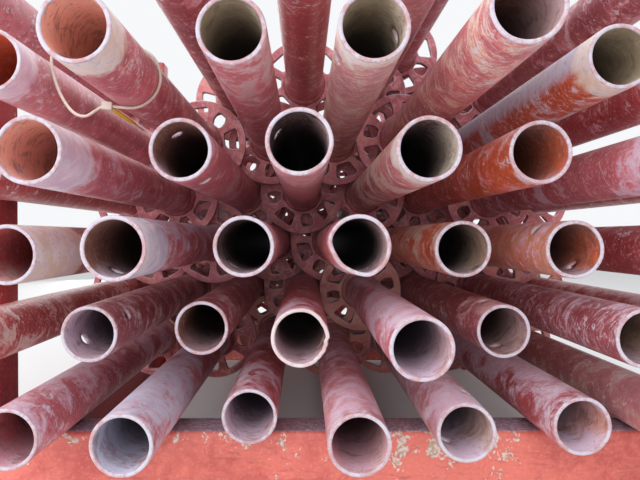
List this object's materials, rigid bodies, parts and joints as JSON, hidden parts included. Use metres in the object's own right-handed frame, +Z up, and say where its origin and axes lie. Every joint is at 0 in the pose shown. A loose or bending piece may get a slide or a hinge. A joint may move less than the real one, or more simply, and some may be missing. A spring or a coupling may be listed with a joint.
{
  "type": "stack of steel scaffold standards in a rack",
  "caption": "Worn red-painted steel scaffold tubes with welded rosettes, stacked open end forward in a low steel rack.",
  "frame": {"origin": "centre of the bounding box at the ground, under the rack's feet", "axes": "+Z up, +Y along the tubes away from their open mouths, +X to the right as seen from the mouths"},
  "size_m": [0.8, 1.16, 0.668],
  "materials": {
    "tube_paint": "worn satin",
    "rosette_paint": "worn satin",
    "beam_paint": "chipped satin",
    "rack_paint": "satin",
    "tie_plastic": "satin",
    "tag_plastic": "satin"
  },
  "bodies": {
    "root": {"front_beam": "beam_paint", "front_left_foot": "rack_paint", "front_left_post": "rack_paint", "front_right_foot": "rack_paint", "front_right_post": "rack_paint", "left_side_rail": "rack_paint", "rear_beam": "beam_paint", "rear_left_foot": "rack_paint", "rear_left_post": "rack_paint", "rear_right_foot": "rack_paint", "rear_right_post": "rack_paint", "right_side_rail": "rack_paint", "rosettes_row_1": "rosette_paint", "rosettes_row_2": "rosette_paint", "rosettes_row_3": "rosette_paint", "rosettes_row_4": "rosette_paint", "rosettes_row_5": "rosette_paint", "rosettes_row_6": "rosette_paint", "rosettes_row_7": "rosette_paint", "tie_clip": "tie_plastic", "tie_loop": "tie_plastic", "tie_tag": "tag_plastic", "tie_tail": "tie_plastic", "tubes_row_1": "tube_paint", "tubes_row_2": "tube_paint", "tubes_row_3": "tube_paint", "tubes_row_4": "tube_paint", "tubes_row_5": "tube_paint", "tubes_row_6": "tube_paint", "tubes_row_7": "tube_paint"}
  },
  "joints": []
}
